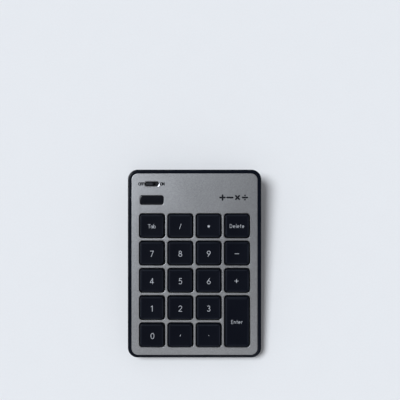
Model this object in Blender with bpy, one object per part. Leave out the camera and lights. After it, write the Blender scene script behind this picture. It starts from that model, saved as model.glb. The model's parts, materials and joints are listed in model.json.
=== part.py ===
"""Slim wireless numeric keypad: 19 scissor keys under a silver plate in a black tray.

Metres, +Z up, +Y towards the rear of the keypad. The origin is on the desk, under the
middle of the keypad. The deck (tray, plate and keys) slopes up to the rear: its pieces are
children of the empty "deck", whose own z = 0 is the flat underside of the tray. The battery
hump and the feet below it are level with the desk.
"""

import math

import bmesh
import bpy
from mathutils import Vector

MM = 0.001


def mm(*values):
    """Millimetres to metres, as a tuple."""
    return tuple(value * MM for value in values)


# Deck
SLOPE = math.radians(5.0)
DECK_HEIGHT = 6.0 * MM          # tray underside above the desk, in the middle of the deck
THICKNESS = 6.5 * MM            # tray underside to plate top
PLATE_W, PLATE_D, PLATE_R = mm(84.5, 121.8, 4.4)
RIM = 2.55 * MM                 # black rim seen behind the plate and at its sides
FRONT_RIM = 1.85 * MM           # and in front of it
BODY_W = PLATE_W + 2 * RIM
BODY_D = PLATE_D + RIM + FRONT_RIM
BODY_R = 6.6 * MM
BODY_Y = (RIM - FRONT_RIM) / 2  # middle of the tray on the deck, where the plate's is 0
PLATE_T = 1.3 * MM
GAP = 0.3 * MM                  # room between neighbouring pieces
FLOOR = 1.2 * MM                # tray floor thickness
RIM_TOP = 6.05 * MM
LEDGE_Z = THICKNESS - PLATE_T - GAP
LEDGE = 0.7 * MM                # how far the ledge reaches under the plate
EDGE_R = 1.2 * MM               # rounding of the tray's lower edge

# Keys
PITCH_X, PITCH_Y = mm(19.0, 18.3)
BAR = 1.6 * MM                  # silver bar between two openings
OPENING_W, OPENING_D = PITCH_X - BAR, PITCH_Y - BAR
OPENING_R = 2.2 * MM
KEY_GAP = 0.4 * MM              # keycap side to opening
FRONT_MARGIN = 5.1 * MM         # first opening to the plate's front edge
CAP_TOP = 8.8 * MM
CAP_BOTTOM = 5.9 * MM
CAP_WALL = 1.15 * MM
CAP_CEILING = 7.8 * MM
BOSS_BOTTOM = 6.9 * MM
CORNER_STEPS = 3
ROW_1 = -PLATE_D / 2 + FRONT_MARGIN + OPENING_D / 2    # front row's centre

# Layers under the keys
SUPPORT_Z = mm(2.1, 2.5)
MEMBRANE_Z = mm(2.7, 2.95)
DOME_BASE_Z = mm(3.1, 3.35)
DOME_TOP = 6.6 * MM
DOME_R = 3.1 * MM
LEVER_LOW, LEVER_HIGH = mm(4.05, 7.05)
LEVER_T = 0.8 * MM

# Upper left controls, in deck coordinates
SLOT_CENTER = mm(-28.6, 53.8)
SLOT_SIZE = mm(9.4, 3.1)
SLOT_R = 1.45 * MM
KNOB_SIZE = mm(5.2, 2.4)
KNOB_TRAVEL = 3.0 * MM
WINDOW_CENTER = mm(-28.7, 43.0)
WINDOW_SIZE = mm(16.1, 6.3)
WINDOW_R = 1.6 * MM
BOARD_Z = mm(1.5, 2.3)
BOARD_X = mm(-40.2, -12.2)
BOARD_Y = mm(36.4, 58.8)

# Battery hump, level with the desk
HUMP_Z = 1.0 * MM
HUMP_HALF_W = 41.3 * MM
HUMP_Y = mm(33.0, 60.6)
HUMP_R = 3.0 * MM
CELL_R, CELL_L = mm(5.25, 44.5)
CELL_NUB_R, CELL_NUB_L = mm(2.7, 0.9)
BAY_X = mm(-10.5, 39.5)
BAY_Y = mm(35.4, 58.2)
DOOR_X = mm(-11.4, 40.7)
DOOR_T = 1.6 * MM
TONGUE = 0.9 * MM               # how far the door's edges reach into their grooves
TONGUE_T = 0.7 * MM
CELL_Z = HUMP_Z + DOOR_T + GAP + CELL_R
CELL_FRONT_Y = BAY_Y[0] + 0.5 * MM + CELL_R
CELL_REAR_Y = BAY_Y[1] - 0.5 * MM - CELL_R
HUMP_FLOOR = 2.8 * MM           # top of the hump's closed bottom wall
BUTTON_XY = mm(-27.0, 42.0)
BUTTON_TRAVEL = 0.4 * MM

# Feet and screws
FRONT_FOOT_Y = -54.0 * MM
FRONT_FOOT_SIZE = mm(60.0, 4.4)
REAR_FOOT_XY = mm(30.0, 53.6)
REAR_FOOT_SIZE = mm(14.0, 4.6)
FOOT_RECESS = 0.4 * MM
SCREW_XY = mm(39.75, -20.0)

# Puts the middle of the outline at y = 0
DECK_Y = math.sin(SLOPE) * (EDGE_R + LEDGE_Z) / 2 - math.cos(SLOPE) * BODY_Y

KEYS = (
    ("tab", 0, 4, 1), ("slash", 1, 4, 1), ("asterisk", 2, 4, 1), ("delete", 3, 4, 1),
    ("7", 0, 3, 1), ("8", 1, 3, 1), ("9", 2, 3, 1), ("minus", 3, 3, 1),
    ("4", 0, 2, 1), ("5", 1, 2, 1), ("6", 2, 2, 1), ("plus", 3, 2, 1),
    ("1", 0, 1, 1), ("2", 1, 1, 1), ("3", 2, 1, 1), ("enter", 3, 0, 2),
    ("0", 0, 0, 1), ("comma", 1, 0, 1), ("point", 2, 0, 1),
)    # name, column, lowest row counted from the front, rows covered


def key_center(column, row, rows):
    """Centre of a key on the deck."""
    x = (column - 1.5) * PITCH_X
    y = ROW_1 + (row + (rows - 1) / 2) * PITCH_Y
    return x, y


def deck_height(y, z):
    """World height of the deck point (y, z)."""
    return DECK_HEIGHT + y * math.sin(SLOPE) + z * math.cos(SLOPE)


def height_over_hump(world_y, z):
    """World height of the deck-parallel plane z, above the world point y."""
    return DECK_HEIGHT + (world_y - DECK_Y) * math.tan(SLOPE) + z / math.cos(SLOPE)


# Outlines and meshes

def rounded_rect(width, depth, radius, z=0.0, center=(0.0, 0.0), steps=CORNER_STEPS):
    """Counter-clockwise rounded rectangle; each corner arc has steps + 1 points."""
    points = []
    for quarter in range(4):
        side_x = 1 if quarter in (0, 3) else -1
        side_y = 1 if quarter in (0, 1) else -1
        cx = center[0] + side_x * (width / 2 - radius)
        cy = center[1] + side_y * (depth / 2 - radius)
        for step in range(steps + 1):
            angle = (quarter + step / steps) * math.pi / 2
            points.append((cx + radius * math.cos(angle), cy + radius * math.sin(angle), z))
    return points


def circle(radius, z, count, center=(0.0, 0.0)):
    """Circle whose points pair up with those of a rounded rectangle."""
    points = []
    for index in range(count):
        angle = (index + 0.5) * 2 * math.pi / count
        x = center[0] + radius * math.cos(angle)
        y = center[1] + radius * math.sin(angle)
        points.append((x, y, z))
    return points


def loft(name, loops, ring=False):
    """Closed mesh through loops of equal length; a ring joins the last loop to the first."""
    bm = bmesh.new()
    rows = [[bm.verts.new(point) for point in loop] for loop in loops]
    pairs = list(zip(rows, rows[1:]))
    if ring:
        pairs.append((rows[-1], rows[0]))
    else:
        bm.faces.new(rows[0])
        bm.faces.new(rows[-1])
    for lower, upper in pairs:
        for index in range(len(lower)):
            after = (index + 1) % len(lower)
            bm.faces.new((lower[index], lower[after], upper[after], upper[index]))
    bmesh.ops.recalc_face_normals(bm, faces=bm.faces)
    mesh = bpy.data.meshes.new(name)
    bm.to_mesh(mesh)
    bm.free()
    mesh.shade_smooth()
    mesh.set_sharp_from_angle(angle=math.radians(32))
    return mesh


def box(name, x, y, z):
    """Box between two limits on each axis."""
    corners = ((x[0], y[0]), (x[1], y[0]), (x[1], y[1]), (x[0], y[1]))
    return loft(name, [[(cx, cy, height) for cx, cy in corners] for height in z])


def turned(name, profile, count, axis="Z"):
    """Solid of revolution from (radius, height) pairs, about Z or about X."""
    loops = []
    for radius, height in profile:
        loop = circle(radius, height, count)
        if axis == "X":
            loop = [(z, x, y) for x, y, z in loop]
        loops.append(loop)
    return loft(name, loops)


def coil(name, radius_low, radius_high, start, end, turns, wire):
    """Conical spring about X: a round wire swept along a helix, with flat ends."""
    steps = 12 * turns
    sides = 6
    loops = []
    for step in range(steps + 1):
        share = step / steps
        angle = 2 * math.pi * turns * share
        radius = radius_low + (radius_high - radius_low) * share
        out = Vector((0, math.cos(angle), math.sin(angle)))
        center = out * radius + Vector((start + (end - start) * share, 0, 0))
        loop = []
        for side in range(sides):
            turn = 2 * math.pi * side / sides
            offset = out * math.cos(turn) + Vector((1, 0, 0)) * math.sin(turn)
            loop.append(center + offset * wire)
        loops.append(loop)
    return loft(name, loops)


# Objects

def clear_scene():
    for item in list(bpy.data.objects):
        bpy.data.objects.remove(item, do_unlink=True)


def make_material(name, color, roughness, metallic=0.0):
    material = bpy.data.materials.new(name)
    material.use_nodes = True
    shader = material.node_tree.nodes["Principled BSDF"]
    shader.inputs["Base Color"].default_value = (*color, 1.0)
    shader.inputs["Roughness"].default_value = roughness
    shader.inputs["Metallic"].default_value = metallic
    material.diffuse_color = (*color, 1.0)
    return material


def place(name, mesh, material=None, parent=None, location=(0, 0, 0)):
    """Puts a mesh into the scene as a named object."""
    item = bpy.data.objects.new(name, mesh)
    bpy.context.scene.collection.objects.link(item)
    item.parent = parent
    item.location = location
    if material is not None and not mesh.materials:
        mesh.materials.append(material)
    return item


def combine(item, mesh, operation, parent=None, location=(0, 0, 0)):
    """Adds a hidden tool object and the Boolean that applies it."""
    tool = place(mesh.name, mesh, parent=parent, location=location)
    tool.hide_render = True
    tool.display_type = "WIRE"
    modifier = item.modifiers.new(mesh.name, "BOOLEAN")
    modifier.operation = operation
    modifier.solver = "EXACT"
    modifier.object = tool
    return tool


def fused(name, meshes):
    """One closed mesh from overlapping ones."""
    base = place(name, meshes[0])
    tools = [combine(base, mesh, "UNION") for mesh in meshes[1:]]
    graph = bpy.context.evaluated_depsgraph_get()
    mesh = bpy.data.meshes.new_from_object(base.evaluated_get(graph))
    mesh.name = name
    for item in [base] + tools:
        bpy.data.objects.remove(item, do_unlink=True)
    return mesh


# Sub-parts of the deck

def keycap_mesh(name, rows):
    """Hollow cap: boss under the ceiling, skirt, sides drawn in, edge rounded at the top."""
    width = OPENING_W - 2 * KEY_GAP
    depth = OPENING_D - 2 * KEY_GAP + (rows - 1) * PITCH_Y
    corner = OPENING_R - KEY_GAP + 0.1 * MM
    count = 4 * (CORNER_STEPS + 1)
    loops = [circle(1.6 * MM, BOSS_BOTTOM, count), circle(1.6 * MM, CAP_CEILING, count)]
    inner_w = width - 2 * CAP_WALL
    inner_d = depth - 2 * CAP_WALL
    loops.append(rounded_rect(inner_w - 0.6 * MM, inner_d - 0.6 * MM, 1.2 * MM, CAP_CEILING))
    loops.append(rounded_rect(inner_w, inner_d, 1.2 * MM, CAP_BOTTOM))
    outside = ((0.0, CAP_BOTTOM), (0.45, 8.1 * MM), (0.65, 8.55 * MM), (1.05, CAP_TOP))
    for inset, z in outside:
        cut = 2 * inset * MM
        loops.append(rounded_rect(width - cut, depth - cut, corner, z))
    return loft(name, loops)


def lever_ring(name, width, length, rise):
    """Rectangular frame of a scissor lever, from its low end at one side to its high end."""
    bar = 1.2 * MM
    middle = (LEVER_LOW + LEVER_HIGH) / 2

    def ring_loop(inset, offset):
        loop = []
        for side_x, side_y in ((-1, -1), (1, -1), (1, 1), (-1, 1)):
            y = side_y * (length / 2 - inset)
            z = middle + rise * y / length + offset
            loop.append((side_x * (width / 2 - inset), y, z))
        return loop

    half = LEVER_T / 2
    loops = [ring_loop(0, -half), ring_loop(0, half), ring_loop(bar, half), ring_loop(bar, -half)]
    return loft(name, loops, ring=True)


def scissor_mesh(name, length):
    """Two crossed lever frames held together by the pins at their middle."""
    rise = LEVER_HIGH - LEVER_LOW - LEVER_T
    middle = (LEVER_LOW + LEVER_HIGH) / 2
    outer_w, inner_w = mm(13.2, 10.0)
    parts = [
        lever_ring(name + "_outer", outer_w, length, rise),
        lever_ring(name + "_inner", inner_w, length, -rise),
    ]
    for side in (-1, 1):
        x = sorted((side * (inner_w / 2 - 0.4 * MM), side * (outer_w / 2 - 0.4 * MM)))
        pin = 0.25 * MM
        parts.append(box(f"{name}_pin_{side}", x, (-pin, pin), (middle - pin, middle + pin)))
    return fused(name, parts)


def build_keys(deck, plastic, lever_plastic):
    cap_meshes = {rows: keycap_mesh(f"keycap_{rows}", rows) for rows in (1, 2)}
    lever_meshes = {
        1: scissor_mesh("scissor_short", 12.4 * MM),
        2: scissor_mesh("scissor_long", 26.0 * MM),
    }
    for name, column, row, rows in KEYS:
        x, y = key_center(column, row, rows)
        place(f"key_{name}", cap_meshes[rows], plastic, deck, (x, y, 0))
        place(f"scissor_{name}", lever_meshes[rows], lever_plastic, deck, (x, y, 0))


def build_top_cover(deck, paint):
    bottom = THICKNESS - PLATE_T
    edge = 0.4 * MM
    cover = place("top_cover", loft("top_cover", [
        rounded_rect(PLATE_W, PLATE_D, PLATE_R, bottom, steps=6),
        rounded_rect(PLATE_W, PLATE_D, PLATE_R, THICKNESS - edge, steps=6),
        rounded_rect(PLATE_W - 2 * edge, PLATE_D - 2 * edge, PLATE_R - edge, THICKNESS, steps=6),
    ]), paint, deck)
    below, above = bottom - 1 * MM, THICKNESS + 1 * MM
    openings = [(SLOT_CENTER, SLOT_SIZE, SLOT_R), (WINDOW_CENTER, WINDOW_SIZE, WINDOW_R)]
    for _, column, row, rows in KEYS:
        size = (OPENING_W, OPENING_D + (rows - 1) * PITCH_Y)
        openings.append((key_center(column, row, rows), size, OPENING_R))
    for index, (center, size, radius) in enumerate(openings):
        loops = [rounded_rect(*size, radius, z, center) for z in (below, above)]
        combine(cover, loft(f"cut_opening_{index:02d}", loops), "DIFFERENCE", deck)
    post = turned("add_screw_post", [(1.5 * MM, 2.2 * MM), (1.5 * MM, bottom + 0.2 * MM)], 12)
    bore = turned("cut_screw_bore", [(0.95 * MM, 2.0 * MM), (0.95 * MM, bottom - 0.3 * MM)], 12)
    for mesh, operation in ((post, "UNION"), (bore, "DIFFERENCE")):
        for side in (-1, 1):
            combine(cover, mesh, operation, deck, (side * SCREW_XY[0], SCREW_XY[1], 0))


def tray_mesh():
    """Tray: rounded lower edge, upright side, rim, ledge for the plate, floor."""
    outside = (
        (1.2, 0.0), (0.35, 0.35), (0.0, EDGE_R / MM), (0.0, 5.2), (0.25, 5.8), (0.8, RIM_TOP / MM),
    )
    loops = []
    for inset, z in outside:
        size = (BODY_W - 2 * inset * MM, BODY_D - 2 * inset * MM)
        loops.append(rounded_rect(*size, BODY_R - inset * MM, z * MM, (0, BODY_Y), 6))
    inside = ((GAP, RIM_TOP), (GAP, LEDGE_Z), (-LEDGE, LEDGE_Z), (-LEDGE, FLOOR))
    for grow, z in inside:
        size = (PLATE_W + 2 * grow, PLATE_D + 2 * grow)
        loops.append(rounded_rect(*size, PLATE_R + grow, z, steps=6))
    return loft("bottom_case", loops)


def hump_mesh():
    """Level battery hump; its top follows the tray floor and its front leans forward."""
    depth = HUMP_Y[1] - HUMP_Y[0]
    middle = (HUMP_Y[0] + HUMP_Y[1]) / 2
    loops = []
    for inset, z in ((0.9, 0.0), (0.26, 0.3), (0.0, 0.9)):
        size = (2 * (HUMP_HALF_W - inset * MM), depth - 2 * inset * MM)
        loops.append(rounded_rect(*size, HUMP_R, HUMP_Z + z * MM, (0, middle)))
    lean, flare = mm(2.0, 0.5)
    size = (2 * (HUMP_HALF_W + flare), depth + lean + flare)
    top = rounded_rect(*size, HUMP_R, 0, (0, middle - (lean - flare) / 2))
    loops.append([(x, y, height_over_hump(y, FLOOR / 2)) for x, y, _ in top])
    return loft("add_battery_hump", loops)


def build_bottom_case(deck, plastic):
    case = place("bottom_case", tray_mesh(), plastic, deck)
    combine(case, hump_mesh(), "UNION")
    for side in (-1, 1):
        rib = box("add_floor_rib", mm(-0.7, 0.7), mm(-54, 26), mm(0.9, 1.8))
        combine(case, rib, "UNION", deck, (side * PITCH_X, 0, 0))
        spot = (side * SCREW_XY[0], SCREW_XY[1], 0)
        pad = turned("add_screw_pad", [mm(2.2, 0.8), mm(2.2, 1.9)], 12)
        combine(case, pad, "UNION", deck, spot)
        sink = turned("cut_screw_head", [mm(1.7, -1.0), mm(1.7, 1.0)], 12)
        combine(case, sink, "DIFFERENCE", deck, spot)
        hole = turned("cut_screw_hole", [mm(0.95, 0.5), mm(0.95, 2.5)], 12)
        combine(case, hole, "DIFFERENCE", deck, spot)
    foot_w, foot_d = FRONT_FOOT_SIZE
    recess = box("cut_front_foot", (-foot_w / 2 - GAP, foot_w / 2 + GAP),
                 (FRONT_FOOT_Y - foot_d / 2 - GAP, FRONT_FOOT_Y + foot_d / 2 + GAP),
                 mm(-1.0, 0.6))
    combine(case, recess, "DIFFERENCE", deck)

    slot_end = HUMP_HALF_W + 3 * MM
    slot_start = DOOR_X[0] - GAP
    groove_low = HUMP_Z + DOOR_T - TONGUE_T - GAP
    slot_top = HUMP_Z + DOOR_T + GAP
    reach = TONGUE + GAP
    cuts = (
        ("cut_battery_bay", BAY_X, BAY_Y, mm(2.0, 13.0)),
        ("cut_door_slot", (slot_start, slot_end), (BAY_Y[0] - GAP, BAY_Y[1] + GAP),
         (0, slot_top)),
        ("cut_door_grooves", (slot_start, slot_end), (BAY_Y[0] - reach, BAY_Y[1] + reach),
         (groove_low, slot_top)),
        ("cut_board_pocket", mm(-36.5, -15.5), mm(38.2, 56.2), (HUMP_FLOOR, 12.8 * MM)),
        ("cut_rear_foot",
         (-REAR_FOOT_XY[0] - REAR_FOOT_SIZE[0] / 2 - GAP,
          -REAR_FOOT_XY[0] + REAR_FOOT_SIZE[0] / 2 + GAP),
         (REAR_FOOT_XY[1] - REAR_FOOT_SIZE[1] / 2 - GAP,
          REAR_FOOT_XY[1] + REAR_FOOT_SIZE[1] / 2 + GAP),
         (0, HUMP_Z + FOOT_RECESS)),
    )
    for name, x, y, z in cuts:
        combine(case, box(name, x, y, z), "DIFFERENCE")
    hole = turned("cut_button_hole", [mm(2.2, 0.0), mm(2.2, 4.0)], 16)
    combine(case, hole, "DIFFERENCE", None, (*BUTTON_XY, 0))


def build_layers(deck, steel, film, rubber):
    """Support plate, membrane with its tail, and the rubber dome sheet."""
    rear = ROW_1 + 4 * PITCH_Y + OPENING_D / 2 + 0.4 * MM
    front = ROW_1 - OPENING_D / 2 - 0.6 * MM
    depth = rear - front
    middle = (0, (rear + front) / 2)
    half_w = 37.9 * MM
    plate = [rounded_rect(2 * half_w, depth, 1.5 * MM, z, middle) for z in SUPPORT_Z]
    support = place("support_plate", loft("support_plate", plate), steel, deck)
    for column in (-1, 1):
        for row in range(1, 5):
            y = ROW_1 + (row - 0.5) * PITCH_Y
            hole = turned("cut_support_hole", [mm(1.0, 1.5), mm(1.0, 3.0)], 12)
            combine(support, hole, "DIFFERENCE", deck, (column * PITCH_X, y, 0))

    tail_left, tail_right, tail_end = mm(-23.0, -15.0, 39.4)
    side = half_w - 0.3 * MM
    outline = (
        (-side, front), (side, front), (side, rear), (tail_right, rear),
        (tail_right, tail_end), (tail_left, tail_end), (tail_left, rear), (-side, rear),
    )
    sheets = [[(x, y, z) for x, y in outline] for z in MEMBRANE_Z]
    place("membrane", loft("membrane", sheets), film, deck)

    base = [rounded_rect(2 * side, depth, 1.2 * MM, z, middle) for z in DOME_BASE_Z]
    sheet = place("dome_sheet", loft("dome_sheet", base), rubber, deck)
    low, top = DOME_BASE_Z[0], DOME_TOP
    outer = turned("add_dome", [
        (DOME_R, low + 0.1 * MM), (DOME_R, DOME_BASE_Z[1] + 0.2 * MM),
        (1.4 * MM, top),
    ], 8)
    inner = turned("cut_dome", [
        (DOME_R - 0.35 * MM, low - 0.5 * MM), (DOME_R - 0.35 * MM, DOME_BASE_Z[1]),
        (0.95 * MM, top - 0.6 * MM),
    ], 8)
    for mesh, operation in ((outer, "UNION"), (inner, "DIFFERENCE")):
        for _, column, row, rows in KEYS:
            combine(sheet, mesh, operation, deck, (*key_center(column, row, rows), 0))


def build_controls(deck, black, smoke, fibre, white):
    """Power switch, indicator window, and the board that carries their works."""
    knob_x = SLOT_CENTER[0] - KNOB_TRAVEL / 2
    knob_w, knob_d = KNOB_SIZE
    knob = fused("power_switch", [
        loft("switch_knob", [
            rounded_rect(knob_w, knob_d, 1.1 * MM, 4.75 * MM),
            rounded_rect(knob_w, knob_d, 1.1 * MM, 6.0 * MM),
            rounded_rect(knob_w - 0.5 * MM, knob_d - 0.5 * MM, 0.85 * MM, 6.25 * MM),
        ]),
        box("switch_stem", mm(-0.8, 0.8), mm(-0.5, 0.5), mm(3.5, 5.2)),
    ])
    place("power_switch", knob, black, deck, (knob_x, SLOT_CENTER[1], 0))
    housing = place("switch_housing", box("switch_housing", mm(-5.5, 5.5), mm(-1.9, 1.9),
                                          mm(2.6, 4.4)), black, deck, (*SLOT_CENTER, 0))
    groove = box("cut_switch_groove", mm(-2.7, 2.7), mm(-0.8, 0.8), mm(3.2, 5.0))
    combine(housing, groove, "DIFFERENCE", deck, (*SLOT_CENTER, 0))

    lens_w, lens_d = WINDOW_SIZE[0] - 2 * GAP, WINDOW_SIZE[1] - 2 * GAP
    lens_r = WINDOW_R - GAP
    flange = 1.6 * MM
    place("led_window", loft("led_window", [
        rounded_rect(lens_w + flange, lens_d + flange, lens_r, 4.1 * MM),
        rounded_rect(lens_w + flange, lens_d + flange, lens_r, 4.9 * MM),
        rounded_rect(lens_w, lens_d, lens_r, 4.9 * MM),
        rounded_rect(lens_w, lens_d, lens_r, 6.4 * MM),
    ]), smoke, deck, (*WINDOW_CENTER, 0))
    place("status_led", box("status_led", mm(-1.0, 1.0), mm(-0.6, 0.6), mm(2.6, 3.4)),
          white, deck, (WINDOW_CENTER[0] - 5.0 * MM, WINDOW_CENTER[1], 0))

    board = place("main_board", box("main_board", BOARD_X, BOARD_Y, BOARD_Z), fibre, deck)
    blocks = (
        ("add_radio_module", mm(-21.5, -13.5), mm(47.0, 58.0), mm(2.2, 3.9)),
        ("add_controller", mm(-21.0, -16.0), mm(40.6, 45.6), mm(2.2, 3.2)),
        ("add_crystal", mm(-38.5, -35.5), mm(37.5, 39.0), mm(2.2, 3.2)),
        ("add_button_switch", mm(-29.0, -25.0), mm(40.0, 44.0), mm(0.4, 1.6)),
    )
    for name, x, y, z in blocks:
        combine(board, box(name, x, y, z), "UNION", deck)


def build_screws(deck, steel):
    mesh = turned("case_screw", [mm(1.4, 0.15), mm(1.4, 0.8), mm(0.65, 0.8), mm(0.65, 4.6)], 12)
    for name, side in (("screw_left", -1), ("screw_right", 1)):
        screw = place(name, mesh, steel, deck, (side * SCREW_XY[0], SCREW_XY[1], 0))
        recess = box("cut_" + name, mm(-0.9, 0.9), mm(-0.2, 0.2), mm(-0.5, 0.4))
        combine(screw, recess, "DIFFERENCE", deck, (side * SCREW_XY[0], SCREW_XY[1], 0))


# Sub-parts level with the desk

def build_battery_cover(plastic):
    """Flat door whose long edges ride in grooves; it slides out to the right."""
    low, high = HUMP_Z, HUMP_Z + DOOR_T
    step = high - TONGUE_T
    front, rear = BAY_Y
    chamfer = 0.5 * MM

    def section(x, underside):
        outline = (
            (front, underside), (rear, underside), (rear, step), (rear + TONGUE, step),
            (rear + TONGUE, high), (front - TONGUE, high), (front - TONGUE, step), (front, step),
        )
        return [(x, y, z) for y, z in outline]

    left, right = DOOR_X
    slices = [section(left, low), section(right - chamfer, low), section(right, low + chamfer)]
    door = place("battery_cover", loft("battery_cover", slices), plastic)
    foot_w, foot_d = REAR_FOOT_SIZE
    x, y = REAR_FOOT_XY
    recess = box("cut_door_foot", (x - foot_w / 2 - GAP, x + foot_w / 2 + GAP),
                 (y - foot_d / 2 - GAP, y + foot_d / 2 + GAP), (0, HUMP_Z + FOOT_RECESS))
    combine(door, recess, "DIFFERENCE")
    for index in range(4):
        x = (30.0 + 2.0 * index) * MM
        groove = box(f"cut_grip_{index}", (x - 0.5 * MM, x + 0.5 * MM), mm(39.0, 47.0),
                     (0, HUMP_Z + 0.4 * MM))
        combine(door, groove, "DIFFERENCE")


def build_feet(rubber):
    """Feet with level soles on the desk; the front one follows the sloping tray above."""
    front_w, front_d = FRONT_FOOT_SIZE
    middle = DECK_Y + FRONT_FOOT_Y * math.cos(SLOPE)
    soles = rounded_rect(front_w, front_d, 1.5 * MM, 0, (0, middle))
    top = [(x, y, height_over_hump(y, GAP)) for x, y, _ in soles]
    place("front_foot", loft("front_foot", [soles, top]), rubber)
    for name, side in (("rear_foot_left", -1), ("rear_foot_right", 1)):
        center = (side * REAR_FOOT_XY[0], REAR_FOOT_XY[1])
        heights = (0, HUMP_Z + FOOT_RECESS - GAP)
        loops = [rounded_rect(*REAR_FOOT_SIZE, 1.5 * MM, z, center) for z in heights]
        place(name, loft(name, loops), rubber)


def build_batteries(jacket):
    body = CELL_L - CELL_NUB_L
    edge = 0.4 * MM
    profile = [
        (CELL_R - edge, 0), (CELL_R, edge), (CELL_R, body - edge), (CELL_R - edge, body),
        (CELL_NUB_R, body), (CELL_NUB_R, CELL_L),
    ]
    mesh = turned("cell", profile, 20, axis="X")
    left_end = BAY_X[0] + 1.1 * MM
    right_end = BAY_X[1] - 1.1 * MM
    front = place("battery_front", mesh, jacket, None, (left_end + CELL_L, CELL_FRONT_Y, CELL_Z))
    front.rotation_euler = (0, 0, math.pi)
    place("battery_rear", mesh, jacket, None, (right_end - CELL_L, CELL_REAR_Y, CELL_Z))


def build_contacts(metal):
    """Plates at both ends of the bay; each negative end is pressed by a conical spring."""
    thin, half, reach = mm(0.4, 3.8, 3.1)
    spacing = CELL_REAR_Y - CELL_FRONT_Y
    single = box("contact_plate", (0, thin), (-half, half), (-half, half))
    double = box("contact_bridge", (0, thin), (-half - spacing, half), (-half, half))
    left_x, right_x = BAY_X[0] + GAP, BAY_X[1] - GAP

    def sprung(name, plate):
        spring = coil("contact_spring", 3.0 * MM, 2.0 * MM, thin / 2, reach, 3, 0.3 * MM)
        return fused(name, [plate, spring])

    negative = sprung("contact_negative", single.copy())
    bridge = sprung("contact_bridge", double)
    place("contact_positive", single, metal, None, (left_x, CELL_FRONT_Y, CELL_Z))
    place("contact_negative", negative, metal, None, (left_x, CELL_REAR_Y, CELL_Z))
    turned_round = place("contact_bridge", bridge, metal, None, (right_x, CELL_FRONT_Y, CELL_Z))
    turned_round.rotation_euler = (0, 0, math.pi)


def build_pairing_button(rubber):
    """Recessed push button whose plunger stands below the switch under the board."""
    switch_height = 0.4 * MM
    y = (BUTTON_XY[1] - DECK_Y) / math.cos(SLOPE)
    plunger_top = deck_height(y, switch_height) - BUTTON_TRAVEL - 2 * GAP
    flange = HUMP_FLOOR + GAP
    profile = [
        (1.6 * MM, HUMP_Z + 0.2 * MM), (1.9 * MM, HUMP_Z + 0.5 * MM), (1.9 * MM, flange),
        (3.0 * MM, flange), (3.0 * MM, flange + 0.7 * MM), (1.2 * MM, flange + 0.7 * MM),
        (1.2 * MM, plunger_top),
    ]
    place("pairing_button", turned("pairing_button", profile, 16), rubber, None,
          (*BUTTON_XY, 0))


def main():
    clear_scene()
    paint = make_material("silver_paint", (0.35, 0.355, 0.37), 0.35, 0.9)
    key_plastic = make_material("key_plastic", (0.004, 0.005, 0.009), 0.5)
    case_plastic = make_material("case_plastic", (0.005, 0.006, 0.011), 0.22)
    black = make_material("black_plastic", (0.006, 0.007, 0.010), 0.42)
    smoke = make_material("smoked_window", (0.004, 0.005, 0.008), 0.12)
    white = make_material("led_white", (0.70, 0.72, 0.70), 0.3)
    levers = make_material("lever_plastic", (0.02, 0.02, 0.022), 0.5)
    fibre = make_material("board_fibre", (0.010, 0.075, 0.035), 0.42)
    film = make_material("membrane_film", (0.06, 0.065, 0.07), 0.3)
    silicone = make_material("dome_silicone", (0.045, 0.045, 0.05), 0.6)
    rubber = make_material("foot_rubber", (0.022, 0.022, 0.024), 0.85)
    button_rubber = make_material("button_plastic", (0.045, 0.046, 0.05), 0.5)
    jacket = make_material("cell_jacket", (0.04, 0.13, 0.30), 0.3)
    support_steel = make_material("support_steel", (0.30, 0.31, 0.32), 0.4, 1.0)
    contact_steel = make_material("contact_steel", (0.72, 0.71, 0.68), 0.24, 1.0)
    screw_steel = make_material("screw_steel", (0.10, 0.10, 0.105), 0.36, 1.0)

    deck = bpy.data.objects.new("deck", None)
    bpy.context.scene.collection.objects.link(deck)
    deck.location = (0, DECK_Y, DECK_HEIGHT)
    deck.rotation_euler = (SLOPE, 0, 0)

    build_bottom_case(deck, case_plastic)
    build_top_cover(deck, paint)
    build_layers(deck, support_steel, film, silicone)
    build_keys(deck, key_plastic, levers)
    build_controls(deck, black, smoke, fibre, white)
    build_screws(deck, screw_steel)
    build_battery_cover(case_plastic)
    build_batteries(jacket)
    build_contacts(contact_steel)
    build_pairing_button(button_rubber)
    build_feet(rubber)


main()
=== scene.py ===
import json
import math

import bmesh
import bpy
from mathutils import Matrix, Vector


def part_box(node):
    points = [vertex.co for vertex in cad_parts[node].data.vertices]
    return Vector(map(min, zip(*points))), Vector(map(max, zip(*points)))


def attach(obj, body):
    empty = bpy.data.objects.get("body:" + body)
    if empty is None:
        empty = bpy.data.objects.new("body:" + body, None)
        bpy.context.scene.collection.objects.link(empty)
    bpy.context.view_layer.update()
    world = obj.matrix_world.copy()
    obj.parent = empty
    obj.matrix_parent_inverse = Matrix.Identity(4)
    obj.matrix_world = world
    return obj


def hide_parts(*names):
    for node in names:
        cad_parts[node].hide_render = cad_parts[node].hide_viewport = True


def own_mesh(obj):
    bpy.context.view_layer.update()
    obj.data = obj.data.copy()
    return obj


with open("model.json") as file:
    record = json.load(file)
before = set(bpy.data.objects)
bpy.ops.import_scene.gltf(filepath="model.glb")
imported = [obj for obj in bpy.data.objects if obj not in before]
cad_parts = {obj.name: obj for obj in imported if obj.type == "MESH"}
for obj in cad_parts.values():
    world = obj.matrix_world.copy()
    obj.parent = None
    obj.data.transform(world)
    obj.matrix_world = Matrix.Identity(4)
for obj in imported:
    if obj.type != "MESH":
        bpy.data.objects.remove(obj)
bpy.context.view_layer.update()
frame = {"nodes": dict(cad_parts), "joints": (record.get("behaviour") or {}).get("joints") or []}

MM = 0.001
PRESS = next(joint for joint in frame["joints"] if joint["name"] == "press_5")
SLOPE = math.atan2(PRESS["axis"][1], -PRESS["axis"][2])
DECK = Matrix.Rotation(SLOPE, 4, "X")    # deck coordinates: world ones, turned with the slope
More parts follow.
